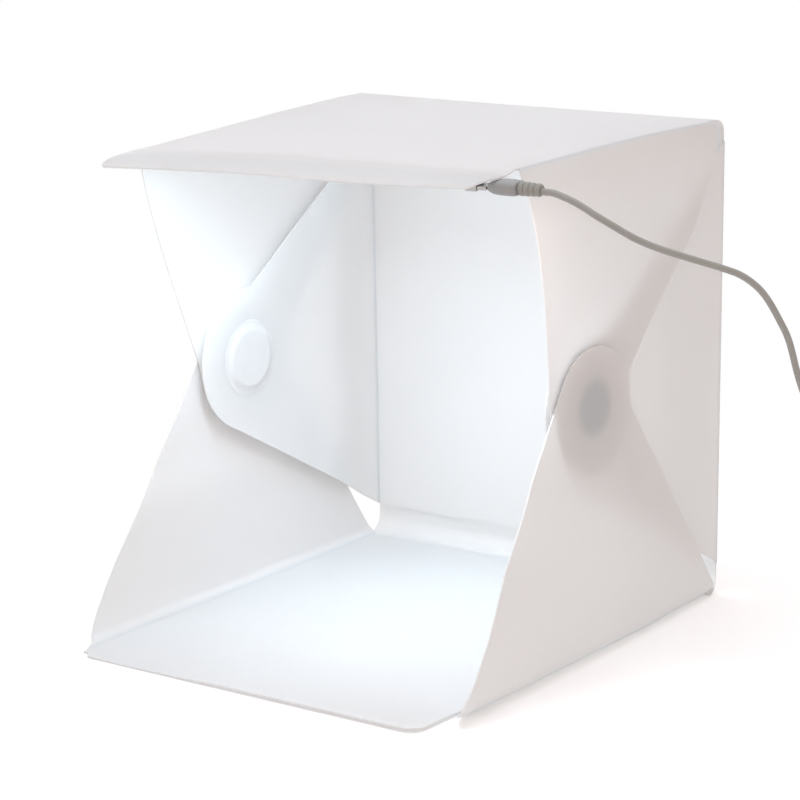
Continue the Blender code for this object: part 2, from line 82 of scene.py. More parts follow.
tip_radius = 0.0316
lower_front_foot = 0.11825
upper_front_foot = 0.06245
upper_rear_foot = 0.11125
upper_shoulder = 0.012
upper_rear_waist = 0.020
back_low_foot = 0.1045
back_high_foot = 0.109
back_upper_waist = 0.0275
magnet_radius = 0.0130
magnet_thickness = 0.0010
patch_radius = 0.0195
patch_thickness = 0.0003
lamp_count = 20
cord_diameter = 0.0030
coil_centre_x = 0.2625
coil_centre_y = 0.0945
coil_outer_radius = 0.0200
coil_pitch = 0.0035
coil_turns = 4.5
tail_length = 0.0190
tail_level_run = 0.0030
tie_thickness = 0.0005
far_body_height = 0.0075

# Sizes that follow the photograph more closely than the solid model
hood_corner_radius = 0.004
roof_turn_radius = 0.0013
upper_corner_round = 0.004
upper_slit = 0.0040
lower_reach = 0.1184
lower_tip_radius = 0.0304
lower_rear_waist = 0.023
lower_rear_round = 0.003
base_front_half = 0.0983
crease_rear = 0.1150
patch_crown_radius = 0.0134
patch_brim_radius = 0.0182
shell_draw = 0.0026

# The same where they differ from side to side, by the side's sign
front_corner_radius = {-1: 0.003, 1: 0.008}
base_turn_radius = {-1: 0.0045, 1: 0.008}
slit_depth = {-1: -0.0098, 1: 0.0186}
slit_reach = {-1: 0.0034, 1: 0.0090}
slit_power = {-1: 1.0, 1: 1.4}
lower_rear_foot = {-1: 0.1072, 1: 0.1100}
back_tip_radius = {-1: 0.036, 1: 0.0315}

# Sizes that follow from these
half_sheet = sheet_thickness / 2
layer_pitch = sheet_thickness + clearance
stack_step = sheet_thickness + magnet_thickness + patch_thickness + 3 * clearance
lower_tip_x = crease_half_width + stack_step - draw_in
upper_tip_x = crease_half_width - draw_in
back_crease = crease_half_width - layer_pitch
back_tip_x = crease_half_width - stack_step - draw_in
panel_half = crease_half_width - half_sheet - clearance
bend_middle = bend_radius - half_sheet
bend_y = depth / 2 - bend_radius
back_y = depth / 2 - half_sheet
base_flat_half = {side: crease_half_width - base_turn_radius[side] for side in (-1, 1)}
roof_flat_half = crease_half_width - roof_turn_radius

# Points across a wrap and across a flap, and the run over which a side edge steps in or out
columns_wide = 61
columns_across = 45
edge_step = 0.00002


# Materials


class Value:
    """A socket of a material's node tree. Plus and times add Math nodes."""

    def __init__(self, paint, socket):
        self.paint = paint
        self.socket = socket

    def math(self, operation, *others):
        return self.paint.node("Math", {"operation": operation}, dict(enumerate((self, *others))))

    def __add__(self, other):
        return self.math("ADD", other)

    def __mul__(self, other):
        return self.math("MULTIPLY", other)

    def smooth(self, low, high):
        """0 below low, 1 above high and a soft step between them."""
        return self.paint.node(
            "MapRange", {"interpolation_type": "SMOOTHSTEP"}, {"Value": self, 1: low, 2: high}
        )


class Tree:
    """A material's or the world's nodes, with the one that its surface comes out of."""

    def __init__(self, owner, output):
        owner.use_nodes = True
        self.tree = owner.node_tree
        self.output = self.tree.nodes[output]

    def feed(self, socket, value):
        if isinstance(value, Value):
            self.tree.links.new(value.socket, socket)
        elif isinstance(value, tuple) and len(value) == 3 and socket.type == "RGBA":
            socket.default_value = (*value, 1.0)
        else:
            socket.default_value = value

    def node(self, kind, settings, sockets, output=0):
        """Add a node of a type, with its settings and then its sockets' values or links."""
        made = self.tree.nodes.new(f"ShaderNode{kind}")
        for name, value in settings.items():
            setattr(made, name, value)
        for name, value in sockets.items():
            self.feed(made.inputs[name], value)
        return Value(self, made.outputs[output])

    def surface(self, value):
        self.feed(self.output.inputs["Surface"], value)


class Paint(Tree):
    """A material with one Principled shader, and the nodes that feed it."""

    def __init__(self, name, **settings):
        self.material = bpy.data.materials.new(name)
        super().__init__(self.material, "Material Output")
        self.shader = self.tree.nodes["Principled BSDF"]
        self.set(**settings)

    def set(self, **settings):
        """Give the shader's sockets their values or links, by their names with _ for each space."""
        for name, value in settings.items():
            self.feed(self.shader.inputs[name.replace("_", " ").title()], value)

    def axis(self, name):
        """The point's X, Y or Z in the tent's own frame."""
        point = self.node("TexCoord", {}, {}, "Object")
        return self.node("SeparateXYZ", {}, {"Vector": point}, name)

    def noise(self, scale, detail, stretch=(1.0, 1.0, 1.0)):
        """Cloudy values about 0.5, with so many clouds to the metre, fewer where the stretch is low."""
        point = self.node("TexCoord", {}, {}, "Object")
        place = self.node("Mapping", {}, {"Vector": point, "Scale": stretch})
        return self.node(
            "TexNoise", {}, {"Vector": place, "Scale": scale, "Detail": detail, "Roughness": 0.5}
        )

    def blend(self, share, low, high):
        """A colour between two, by share."""
        return self.node("Mix", {"data_type": "RGBA"}, {"Factor": share, 6: low, 7: high}, 2)

    def bump(self, level, distance, under=None):
        """Dents and rises of this height in metres, on top of those under them."""
        sockets = {"Height": level, "Distance": distance, "Strength": 1.0}
        if under is not None:
            sockets["Normal"] = under
        return self.node("Bump", {}, sockets)

    def through(self, share):
        """Let this share of the light through the sheet, scattered by the same dents and rises."""
        normal = Value(self, self.shader.inputs["Normal"].links[0].from_socket)
        glow = self.node("BsdfTranslucent", {}, {"Color": (1.0, 1.0, 1.0), "Normal": normal})
        own = Value(self, self.shader.outputs[0])
        self.surface(self.node("MixShader", {}, {0: share, 1: own, 2: glow}))


def sheet_paint():
    """White polypropylene sheet: satin, faintly cloudy and wavy, and lit through.

    The mesh's shade attribute is painted shade: shade in the creases, the lamp strip's shadow across the
    hood and a magnet's shadow through its flap. It blends the white towards a dark blue.
    """
    dull_white, bright_white, dark = (0.898, 0.898, 0.898), (0.922, 0.922, 0.922), (0.0, 0.20, 0.30)
    wave_depth, grain_depth, let_through = 0.0011, 0.000018, 0.36
    paint = Paint("white_sheet", roughness=0.46)
    cloud = paint.noise(16.0, 3.0)
    white = paint.blend(cloud.smooth(0.25, 0.75), dull_white, bright_white)
    # Painted shade from the mesh's shade attribute, blended towards the dark blue
    shade = paint.node("Attribute", {"attribute_name": "shade"}, {}, "Fac")
    paint.set(base_color=paint.blend(shade, white, dark))
    paint.set(roughness=paint.noise(420.0, 2.0) * 0.10 + 0.41)
    waves = paint.bump(paint.noise(7.0, 1.0), wave_depth)
    paint.set(normal=paint.bump(paint.noise(1500.0, 2.0), grain_depth, waves))
    paint.through(let_through)
    return paint.material


def film_paint():
    """Thin glossy film over a magnet."""
    dull_white, bright_white = (0.835, 0.835, 0.835), (0.86, 0.86, 0.86)
    grain_depth, let_through = 0.00002, 0.20
    paint = Paint("patch_film")
    cloud = paint.noise(90.0, 2.0).smooth(0.3, 0.7)
    paint.set(base_color=paint.blend(cloud, dull_white, bright_white))
    paint.set(roughness=paint.noise(500.0, 2.0) * 0.12 + 0.34)
    paint.set(normal=paint.bump(paint.noise(260.0, 2.0), grain_depth))
    paint.through(let_through)
    return paint.material


def magnet_paint():
    """Flat plated magnet with faint turned scratches."""
    paint = Paint("magnet", base_color=(0.22, 0.225, 0.235), metallic=1.0)
    paint.set(roughness=paint.noise(900.0, 3.0) * 0.25 + 0.22)
    return paint.material


def moulding_paint(name, colour, roughness, **settings):
    """Satin moulded plastic with a fine spark-eroded texture and slight shade changes."""
    speckle, grain_depth, roughness_change = 0.02, 0.00002, 0.14
    paint = Paint(name, **settings)
    cloud = paint.noise(220.0, 3.0).smooth(0.3, 0.7)
    dark = tuple(part * (1 - speckle) for part in colour)
    light = tuple(part * (1 + speckle) for part in colour)
    paint.set(base_color=paint.blend(cloud, dark, light))
    paint.set(roughness=paint.noise(700.0, 2.0) * roughness_change + (roughness - roughness_change / 2))
    paint.set(normal=paint.bump(paint.noise(5200.0, 2.0), grain_depth))
    return paint.material


def plated_paint():
    """Nickel-plated pressed steel with a fine drawn grain along X."""
    along_grain, grain_depth = (0.05, 1.0, 1.0), 0.000008
    paint = Paint("plated_steel", base_color=(0.60, 0.60, 0.59), metallic=1.0)
    grain = paint.noise(2600.0, 3.0, along_grain)
    paint.set(roughness=grain * 0.22 + 0.16, normal=paint.bump(grain, grain_depth))
    return paint.material


# Surfaces


def add(name, data):
    """A new object in the scene, at the origin."""
    piece = bpy.data.objects.new(name, data)
    bpy.context.scene.collection.objects.link(piece)
    return piece


def mesh_of(name, points, faces, finish, smooth_angle=35):
    """One object at the origin from points and four-sided faces, smooth but for its sharp edges."""
    mesh = bpy.data.meshes.new(name)
    mesh.vertices.add(len(points))
    mesh.vertices.foreach_set("co", np.asarray(points, np.float32).ravel())
    faces = np.asarray(faces, np.int32)
    mesh.loops.add(faces.size)
    mesh.loops.foreach_set("vertex_index", faces.ravel())
    mesh.polygons.add(len(faces))
    mesh.polygons.foreach_set("loop_start", np.arange(len(faces), dtype=np.int32) * 4)
    mesh.update(calc_edges=True)
    mesh.validate()
    mesh.shade_smooth()
    mesh.set_sharp_from_angle(angle=radians(smooth_angle))
    mesh.materials.append(finish)
    return add(name, mesh)


def grid_faces(rows, columns, wrap=False):
    """The faces of a grid of points, row after row. Where it wraps, each row's end joins its start."""
    r = np.arange(rows - 1)[:, None]
    c = np.arange(columns if wrap else columns - 1)[None, :]
    c2 = (c + 1) % columns
    corners = (r * columns + c, r * columns + c2, (r + 1) * columns + c2, (r + 1) * columns + c)
    return np.stack([np.broadcast_to(k, (r.shape[0], c.shape[1])).ravel() for k in corners], axis=1)


def smoothstep(share):
    """0 up to 0, 1 from 1 on, and 3 share**2 - 2 share**3 between."""
    share = np.clip(share, 0, 1)
    return share * share * (3 - 2 * share)


def sheet_shell(name, middle, finish, flip=False, shade=0.0):
    """A closed sheet of even thickness about a middle surface, a grid of points.

    Each face lies half a thickness along the surface's normal, the cross product of its two slopes,
    and the rims run straight from one face to the other. The shade is painted shade: how far each
    point's white is blended towards the dark.
    """
    along = np.gradient(middle, axis=0)
    across = np.gradient(middle, axis=1)
    normal = np.cross(along, across)
    normal /= np.linalg.norm(normal, axis=2, keepdims=True)
    rows, columns = middle.shape[:2]
    points = np.concatenate([middle + half_sheet * normal, middle - half_sheet * normal])
    points = points.reshape(-1, 3)
    outer = grid_faces(rows, columns)
    count = rows * columns
    index = np.arange(count).reshape(rows, columns)
    rim = np.concatenate([index[0, :-1], index[:-1, -1], index[-1, :0:-1], index[:0:-1, 0]])
    following = np.roll(rim, -1)
    rims = np.stack([rim, rim + count, following + count, following], axis=1)
    faces = np.concatenate([outer, outer[:, ::-1] + count, rims[:, ::-1]])
    if flip:
        faces = faces[:, ::-1]
    piece = mesh_of(name, points, faces, finish)
    level = np.broadcast_to(shade, (rows, columns)).ravel().astype(np.float32)
    piece.data.attributes.new("shade", "FLOAT", "POINT").data.foreach_set("value", np.tile(level, 2))
    return piece


def tube(name, path, radius, sides, finish):
    """A round tube of this radius along a path, its rings turned the least from one to the next."""
    ahead = np.gradient(path, axis=0)
    ahead /= np.linalg.norm(ahead, axis=1, keepdims=True)
    across = np.zeros_like(path)
    sideways = np.cross(ahead[0], (0.0, 0.0, 1.0))
    for n in range(len(path)):
        level = sideways - ahead[n] * (sideways @ ahead[n])
        across[n] = sideways = level / np.linalg.norm(level)
    up = np.cross(across, ahead)
    angle = np.linspace(0, 2 * pi, sides, endpoint=False)[None, :, None]
    rings = path[:, None] + radius * (np.cos(angle) * across[:, None] + np.sin(angle) * up[:, None])
    return rings_closed(name, rings, finish)


def rings_closed(name, rings, finish, smooth_angle=35):
    """A closed skin over rings of points, with a fan of narrow faces shut onto each end's middle."""
    first = np.repeat(rings[0].mean(axis=0)[None], rings.shape[1], axis=0)
    last = np.repeat(rings[-1].mean(axis=0)[None], rings.shape[1], axis=0)
    grid = np.concatenate([first[None], rings, last[None]])
    rows, columns = grid.shape[:2]
    piece = mesh_of(name, grid.reshape(-1, 3), grid_faces(rows, columns, wrap=True), finish, 180)
    close_up(piece, smooth_angle)
    return piece


def close_up(piece, smooth_angle=35):
    """Merge points that coincide, turn the faces outwards and mark the sharp edges."""
    shape = bmesh.new()
    shape.from_mesh(piece.data)
    bmesh.ops.remove_doubles(shape, verts=shape.verts, dist=1e-7)
    bmesh.ops.dissolve_degenerate(shape, edges=shape.edges, dist=1e-8)
    bmesh.ops.recalc_face_normals(shape, faces=shape.faces)
    shape.to_mesh(piece.data)
    shape.free()
    piece.data.shade_smooth()
    piece.data.set_sharp_from_angle(angle=radians(smooth_angle))


def turned(name, profile, finish, steps, place):
    """A profile of (radius, height) turned about its axis, then put in place by a matrix."""
    profile = np.asarray(profile, float)
    angle = np.linspace(0, 2 * pi, steps, endpoint=False)[None, :]
    radius, level = profile[:, :1], profile[:, 1:]
    level = np.broadcast_to(level, (len(profile), steps))
    rings = np.stack([radius * np.cos(angle), radius * np.sin(angle), level], axis=2)
    faces = grid_faces(len(profile), steps, wrap=True)
    piece = mesh_of(name, rings.reshape(-1, 3), faces, finish, 180)
    piece.data.transform(place)
    close_up(piece)
    return piece


# The tent's sheet


def eased(value, start, length):
    """0 before the start and 1 from a length past it, with a soft step between.

    A minus length runs towards smaller values. The pairs below are such a (start, length).
    """
    return smoothstep((value - start) / length)


def half_wave(value, start, length):
    """Half a sine wave over the length: 0 at both ends and 1 midway."""
    return np.sin(pi * np.clip((value - start) / length, 0, 1))


def bell(value, middle, width):
    """1 at the middle, falling off as the exponential of minus the square."""
    return np.exp(-(((value - middle) / width) ** 2))


def arc(centre, radius, first, last, steps):
    """Points (y, z) along an arc about a centre, with its angles from +Y towards +Z."""
    angle = np.linspace(first, last, steps)
    return np.stack([centre[0] + radius * np.cos(angle), centre[1] + radius * np.sin(angle)], axis=1)


def hood_path(runs):
    """Points (y, z) along the hood, whose slope grows as the square of the run along it."""
    fine = np.linspace(0, hood_length, 400)
    angle = hood_end_angle * (fine / hood_length) ** 2
    middle = (angle[1:] + angle[:-1]) / 2
    along, down = (np.append(0, np.cumsum(part(middle) * fine[1])) for part in (np.cos, np.sin))
    y, z = hood_start - along, height - half_sheet - down
    return np.stack([np.interp(runs, fine, y), np.interp(runs, fine, z)], axis=1)


def corner_inset(run, radius):
    """How far a rounded corner draws the side edge in, at this run from the end edge."""
    inside = np.maximum(radius - run, 0.0)
    return radius - np.sqrt(np.maximum(radius**2 - inside**2, 0.0))


def drawn(grid):
    """The tent's rear leans a little to the right, more so on its right side.

    Each side's shift is its lean times the height above a level. The shift is even across the tent
    between the two sides, and fades in from beside the magnets to the back.
    """
    left_lean, left_level, right_lean, right_level = 0.0153, 0.061, 0.0247, 0.105
    fade_y = (0.045, 0.070)
    x, y, z = grid[..., 0], grid[..., 1], grid[..., 2]
    left = left_lean * (z - left_level)
    right = right_lean * (z - right_level)
    share = (x / crease_half_width + 1) / 2
    grid = grid.copy()
    grid[..., 0] += (left + (right - left) * share) * eased(y, *fade_y)
    return grid


def front_lift(grid):
    """The base's front edge bows up off the table, but for its left end.

    The bow is a height times a soft step along each axis.
    """
    bow, bow_x, bow_y, bow_z = 0.0012, (-0.062, 0.055), (-0.040, -0.080), (0.030, -0.030)
    x, y, z = grid[..., 0], grid[..., 1], grid[..., 2]
    lift = np.zeros_like(grid)
    lift[..., 2] = bow * eased(x, *bow_x) * eased(y, *bow_y) * eased(z, *bow_z)
    return lift


def roof_lift(grid):
    """The roof bows up along its right side, and sinks along its left side towards the front.

    The bow is half a wave from rear to front. The sinking is a straight slope down to the hood, and
    grows outwards as the 1.5th power of x. The hood's right end curls down less than the rest of it,
    by the square of x, and its edge there dips by half a wave.
    """
    side_x, past_side = 0.105, 1.1
    bow, bow_x, bow_y = 0.0008, (0.020, 0.085), (0.115, -0.165)
    curl, curl_y = 0.0024, (-0.052, -0.034)
    dip, dip_x, dip_y = 0.0016, (0.098, 0.010), (hood_start, -0.030)
    slope, slope_front, slope_rear, slope_level = 0.0385, -0.052, 0.095, 0.080
    hood_rise, hood_y, left_z = 0.0015, (-0.066, -0.020), (0.14, 0.09)
    x, y, z = grid[..., 0], grid[..., 1], grid[..., 2]
    bowed_up = eased(x, *bow_x) * half_wave(y, *bow_y)
    less_curled = np.clip(x / side_x, 0, past_side) ** 2 * eased(y, *curl_y)
    dipped = eased(x, *dip_x) * half_wave(y, *dip_y)
    sunk = slope * (np.clip(y, slope_front, slope_rear) - slope_level) + hood_rise * eased(y, *hood_y)
    left = np.clip(-x / side_x, 0, past_side) ** 1.5 * eased(z, *left_z)
    lift = np.zeros_like(grid)
    lift[..., 2] = bow * bowed_up + curl * less_curled - dip * dipped + sunk * left
    return lift


def spread(path, left, right, lift):
    """A grid across the tent: each point of a side view path, spread between its two side edges."""
    share = np.linspace(0, 1, columns_wide)[None, :]
    x = -left[:, None] + (left + right)[:, None] * share
    y = np.broadcast_to(path[:, :1], x.shape)
    z = np.broadcast_to(path[:, 1:], x.shape)
    grid = np.stack([x, y, z], axis=2)
    return drawn(grid + lift(grid))


def base_half(y, side):
    """How far the base reaches to a side: a round front corner, a free edge, then the flap's turn.

    The left free edge widens by a straight slope, and the right one by a soft step past its corner.
    """
    left_slope, right_step, step_run = 0.34, 0.0010, (0.018, 0.015)
    run = y + depth / 2
    if side < 0:
        edge = np.minimum(base_front_half + left_slope * run, base_flat_half[side])
    else:
        edge = base_front_half + right_step * eased(run, *step_run)
    edge = edge - corner_inset(run, front_corner_radius[side])
    turn_start = depth / 2 + magnet_y - lower_front_foot + slit_depth[side]
    return np.where(run > turn_start, base_flat_half[side], edge)


def back_half(level):
    """Half the back's width: a little narrower than the base and the top, with an even change."""
    return panel_half - layer_pitch * smoothstep(np.minimum(level, height - level) / bend_radius)


def lower_wrap(finish):
    """The base, its rear bend and the foot of the back, as one sheet.

    In side view: level from the front edge, a quarter turn of the bend radius, then upright. Its side
    edges follow the front corners, then the line where the flaps' turns begin, and step out behind it.
    """
    crease_step = 0.002
    corner = front_corner_radius[1]
    slit_end = magnet_y - lower_front_foot + slit_depth[1]
    flat_y = np.concatenate([
        -depth / 2 + corner * (1 - np.cos(np.linspace(0, pi / 2, 20)))[:-1],
        np.linspace(-depth / 2 + corner, slit_end, 14),
        np.linspace(slit_end + edge_step, bend_y, 60),
    ])
    flat = np.stack([flat_y, np.full_like(flat_y, half_sheet)], axis=1)
    angle = -pi / 2 + asin((crease_rear - bend_y) / bend_middle)
    beside = arc((bend_y, bend_radius), bend_middle, -pi / 2, angle, 6)[1:]
    behind = arc((bend_y, bend_radius), bend_middle, angle + crease_step, 0, 16)
    rise = np.stack([np.full(4, back_y), np.linspace(bend_radius, seam_z, 4)], axis=1)[1:]
    path = np.concatenate([flat, beside, behind, rise])
    rear_half = back_half(path[len(flat) + len(beside):, 1])
    halves = [
        np.concatenate([base_half(flat_y, side), np.full(len(beside), base_flat_half[side]), rear_half])
        for side in (-1, 1)
    ]
    return sheet_shell("base_and_back_sheet", spread(path, *halves, front_lift), finish, flip=True)


def upper_wrap(finish):
    """The back above its foot, the upper bend, the roof and the hood, as one sheet.

    In side view: upright, a quarter turn of the bend radius, level, then down the hood. Its side
    edges follow the back, then the line where the flaps' turns begin, step out a slit's length short
    of the hood, and end in round corners. The hood's right edge swells out by half a wave. A painted
    shadow of the lamp strip lies across the hood as a dark band, from one soft step to the next.
    """
    hood_swell, first_step, first_angle, slit_rows = 0.0030, 0.0005, 0.2, 4
    band_shade, band_start, end_shade, band_end = 0.085, (0.0183, 0.0014), 0.050, (0.0280, 0.003)
    rise = np.stack([np.full(34, back_y), np.linspace(seam_z, height - bend_radius, 34)], axis=1)
    curl = arc((bend_y, height - bend_radius), bend_middle, 0, pi / 2, 18)[1:]
    roof_y = np.concatenate([
        [bend_y - edge_step],
        np.linspace(bend_y - first_step, hood_start + upper_slit + edge_step, 34),
        np.linspace(hood_start + upper_slit, hood_start, slit_rows),
    ])
    roof = np.stack([roof_y, np.full_like(roof_y, height - half_sheet)], axis=1)
    ends = hood_corner_radius * (1 - np.cos(np.linspace(first_angle, pi / 2, 6)))
    plain = hood_length - hood_corner_radius
    runs = np.concatenate([np.linspace(0, plain, 24)[1:-1], hood_length - ends[::-1], [hood_length]])
    path = np.concatenate([rise, curl, roof, hood_path(runs)])
    halves = np.full(len(path), panel_half)
    first = len(rise) + len(curl)
    halves[:first] = back_half(path[:first, 1])
    halves[first: first + len(roof) - slit_rows] = roof_flat_half
    halves[-len(runs):] -= corner_inset(hood_length - runs, hood_corner_radius)
    right = halves.copy()
    right[-len(runs):] += hood_swell * np.sin(pi * runs / hood_length)
    # Painted shadow of the lamp strip under the hood, as a dark band across it
    painted_strip_shadow = np.zeros(len(path))
    painted_strip_shadow[-len(runs):] = band_shade * eased(runs, *band_start) - end_shade * eased(runs, *band_end)
    grid = spread(path, halves, right, roof_lift)
    return sheet_shell("back_and_roof_sheet", grid, finish, flip=True, shade=painted_strip_shadow[:, None])


def flap_edge(run, foot, shoulder, waist, reach, radius):
    """How far a flap reaches to one side of its magnet, at each run from its crease.

    The side is straight over the shoulder, then straight again past the magnet at the distance called
    waist, and ends in the round tip about the magnet.
    """
    fall = reach - shoulder
    span = hypot(foot, fall)
    lean = atan2(fall, foot) + asin(waist / span)
    touch = shoulder + sqrt(span**2 - waist**2) * sin(lean)
    straight = foot - np.maximum(run - shoulder, 0.0) / tan(lean)
    chord = np.sqrt(np.maximum(radius**2 - (run - reach) ** 2, 0.0))
    return np.where(run > touch, chord, np.maximum(straight, chord))


def flap_runs(first, reach, radius):
    """Runs from the turn's end, evenly to the tip circle and closer together round it."""
    short_of_end = 0.0004
    even = np.linspace(first, reach - radius, 40)[1:]
    tip = reach - radius * np.cos(np.linspace(0, pi, 46))[1:-1]
    return np.concatenate([even, tip, [reach + radius * (1 - short_of_end)]])


def bowed(crease_x, tip_x, run, start, length):
    """Where a flap lies sideways: it leaves its crease's x at the start and reaches the tip's x."""
    return crease_x + (tip_x - crease_x) * eased(run, start, length)


def clear_of_magnet(run, along, reach):
    """0 over the magnet's patch, and 1 from a patch's width outside it."""
    fade = (0.023, 0.024)
    return eased(np.hypot(run - reach, along), *fade)


def across(front, rear):
    """Each row's points from its front edge to its rear edge, by evenly spaced shares."""
    share = np.linspace(0, 1, columns_across)[None, :]
    return -front[:, None] + (front + rear)[:, None] * share, share


def by_rows(turn_values, runs):
    """A value for each row of a flap: these over its turn, and 0 over its runs."""
    return np.concatenate([turn_values, np.zeros(len(runs))])[:, None]


def painted_crease_shade(turn, runs, darkest, middle, width):
    """Painted shade in a flap's crease, over its turn: a bell about its middle angle."""
    return by_rows(darkest * bell(turn, middle, width), runs)


def lower_flap(side, word, finish):
    """Hinged on the base, outermost.

    It leaves the base in a soft quarter turn, swells out over the turn and bows in to the magnet. The
    swell rises as one less an exponential of the height, falls as a bell above 30 mm and fades
    rearward, and a low ridge lies along at 80 mm. A slit frees its front foot, and the base's rear bend
    lifts its rear foot. Its shade is painted: shade in the crease over its turn, and the shadow of the
    magnet behind it.
    """
    swell_out, swell_rise, bell_start, bell_width = 0.0044, 0.008, 0.030, 0.032
    ridge, ridge_level, ridge_width = 0.0012, 0.080, 0.015
    rear_fade, nearly, lift_fade = 0.7, 0.99, 0.016
    crease_shade, painted_magnet_shadow, shade_fade = (0.12, 0.35, 0.3), 0.20, (0.0175, -0.0085)
    turn = np.linspace(0, pi / 2, 26)
    radius = base_turn_radius[side]
    turn_x = base_flat_half[side] + radius * np.sin(turn)
    turn_z = half_sheet + radius * (1 - np.cos(turn))
    runs = flap_runs(turn_z[-1], lower_reach, lower_tip_radius)
    level = np.concatenate([turn_z, runs])
    flat = np.concatenate([radius * turn, radius * (pi / 2 - 1) + runs])
    front = flap_edge(level, lower_front_foot, 0.0, lower_tip_radius, lower_reach, lower_tip_radius)
    front = front - slit_depth[side] * np.clip(1 - flat / slit_reach[side], 0, 1) ** slit_power[side]
    rear = flap_edge(level, lower_rear_foot[side], 0.0, lower_rear_waist, lower_reach, lower_tip_radius)
    rear = rear - corner_inset(np.maximum(flat - radius / 2, 0.0), lower_rear_round)
    rear = np.where(flat < radius / 2, crease_rear - magnet_y, rear)
    along, share = across(front, rear)
    run = np.broadcast_to(level[:, None], along.shape)
    swell = swell_out * (1 - np.exp(-(run - half_sheet) / swell_rise))
    swell *= bell(np.maximum(run - bell_start, 0), 0, bell_width)
    swell += ridge * bell(run, ridge_level, ridge_width)
    x = bowed(crease_half_width, lower_tip_x, run, 0.0, lower_bow_length)
    x = x + swell * (1 - rear_fade * smoothstep(share)) * clear_of_magnet(run, along, magnet_z)
    x = x + by_rows(turn_x - crease_half_width, runs)
    grid = np.stack([side * x, magnet_y + along, run], axis=2)
    behind = np.clip(grid[..., 1] - bend_y, 0, bend_middle * nearly)
    rise = bend_middle - np.sqrt(bend_middle**2 - behind**2)
    grid[..., 2] = run + rise * (1 - smoothstep(run / lift_fade))
    # Painted shade: in the crease over the turn, and the magnet's shadow through the sheet
    shade = painted_crease_shade(turn, runs, *crease_shade)
    shade = shade + painted_magnet_shadow * eased(np.hypot(run - magnet_z, along), *shade_fade)
    grid = drawn(grid + front_lift(grid))
    return sheet_shell(f"lower_flap_sheet_{word}", grid, finish, side < 0, shade)


def upper_flap(side, word, finish):
    """Hinged on the roof, between the other two.

    It leaves the roof in a soft quarter turn and swells out beside its front edge: the swell rises as one
    less an exponential of the drop below the roof, and fades towards the magnet and the rear. A slit
    frees the top of its front edge. Its rear edge is cut back near the roof and comes out below.
    """
    swell_out, swell_rise, swell_loss, loss_fall = 0.0065, 0.010, 0.42, (0.060, 0.050)
    rear_fade, slit_length, slit_curve, lift_fade = 0.85, 0.010, 1.5, 0.030
    cut, cut_fall = 0.0107, (0.004, 0.046)
    bump, bump_start, bump_end = 0.002, (0.034, 0.020), (0.062, 0.050)
    crease_shade = (0.20, pi / 4, 0.5)
    reach = height - magnet_z
    turn = np.linspace(0, pi / 2, 14)
    turn_x = roof_flat_half + roof_turn_radius * np.sin(turn)
    turn_drop = roof_turn_radius * (1 - np.cos(turn))
    runs = flap_runs(turn_drop[-1] + half_sheet, reach, tip_radius)
    drop = np.concatenate([turn_drop + half_sheet, runs])
    fall = drop - half_sheet
    front = flap_edge(fall, upper_front_foot, 0.0, tip_radius, reach, tip_radius)
    front = front - upper_slit * np.clip(1 - fall / slit_length, 0, 1) ** slit_curve
    rear = flap_edge(fall, upper_rear_foot, upper_shoulder, upper_rear_waist, reach, tip_radius)
    rear = rear - corner_inset(fall, upper_corner_round) - cut * (1 - eased(fall, *cut_fall))
    rear = rear + bump * eased(fall, *bump_start) * (1 - eased(fall, *bump_end))
    along, share = across(front, rear)
    run = np.broadcast_to(fall[:, None], along.shape)
    swell = swell_out * (1 - np.exp(-run / swell_rise))
    swell *= 1 - swell_loss * eased(run, *loss_fall)
    x = bowed(crease_half_width, upper_tip_x, run, upper_bow_start, upper_bow_length)
    x = x + swell * (1 - rear_fade * smoothstep(share)) * clear_of_magnet(run, along, reach)
    x = x + by_rows(turn_x - crease_half_width, runs)
    level = height - np.broadcast_to(drop[:, None], along.shape)
    middle = np.stack([side * x, magnet_y + along, level], axis=2)
    middle = drawn(middle + roof_lift(middle) * (1 - smoothstep(run / lift_fade))[..., None])
    # The crease over the turn gets painted shade
    return sheet_shell(f"upper_flap_sheet_{word}", middle, finish, side > 0, painted_crease_shade(turn, runs, *crease_shade))


def back_flap(side, word, finish):
    """Hinged on the back, innermost. It turns a tight corner, then bows in to its magnet."""
    crease_shade = (0.20, 0.9, 0.8)
    reach = depth / 2 - magnet_y
    turn = np.linspace(0, pi / 2, 8)
    turn_x = crease_radius * (np.sin(turn) - 1)
    turn_run = half_sheet + crease_radius * (1 - np.cos(turn))
    radius = back_tip_radius[side]
    runs = flap_runs(turn_run[-1], reach, radius)
    run = np.concatenate([turn_run, runs])
    below = flap_edge(run, back_low_foot, 0.0, radius, reach, radius)
    above = flap_edge(run, back_high_foot, 0.0, back_upper_waist, reach, radius)
    along, _ = across(below, above)
    run_grid = np.broadcast_to(run[:, None], along.shape)
    x = bowed(back_crease, back_tip_x, run_grid, back_bow_start, back_bow_length)
    x = x + by_rows(turn_x, runs)
    middle = drawn(np.stack([side * x, depth / 2 - run_grid, magnet_z + along], axis=2))
    # The crease over the turn gets painted shade
    return sheet_shell(f"back_flap_sheet_{word}", middle, finish, side < 0, painted_crease_shade(turn, runs, *crease_shade))


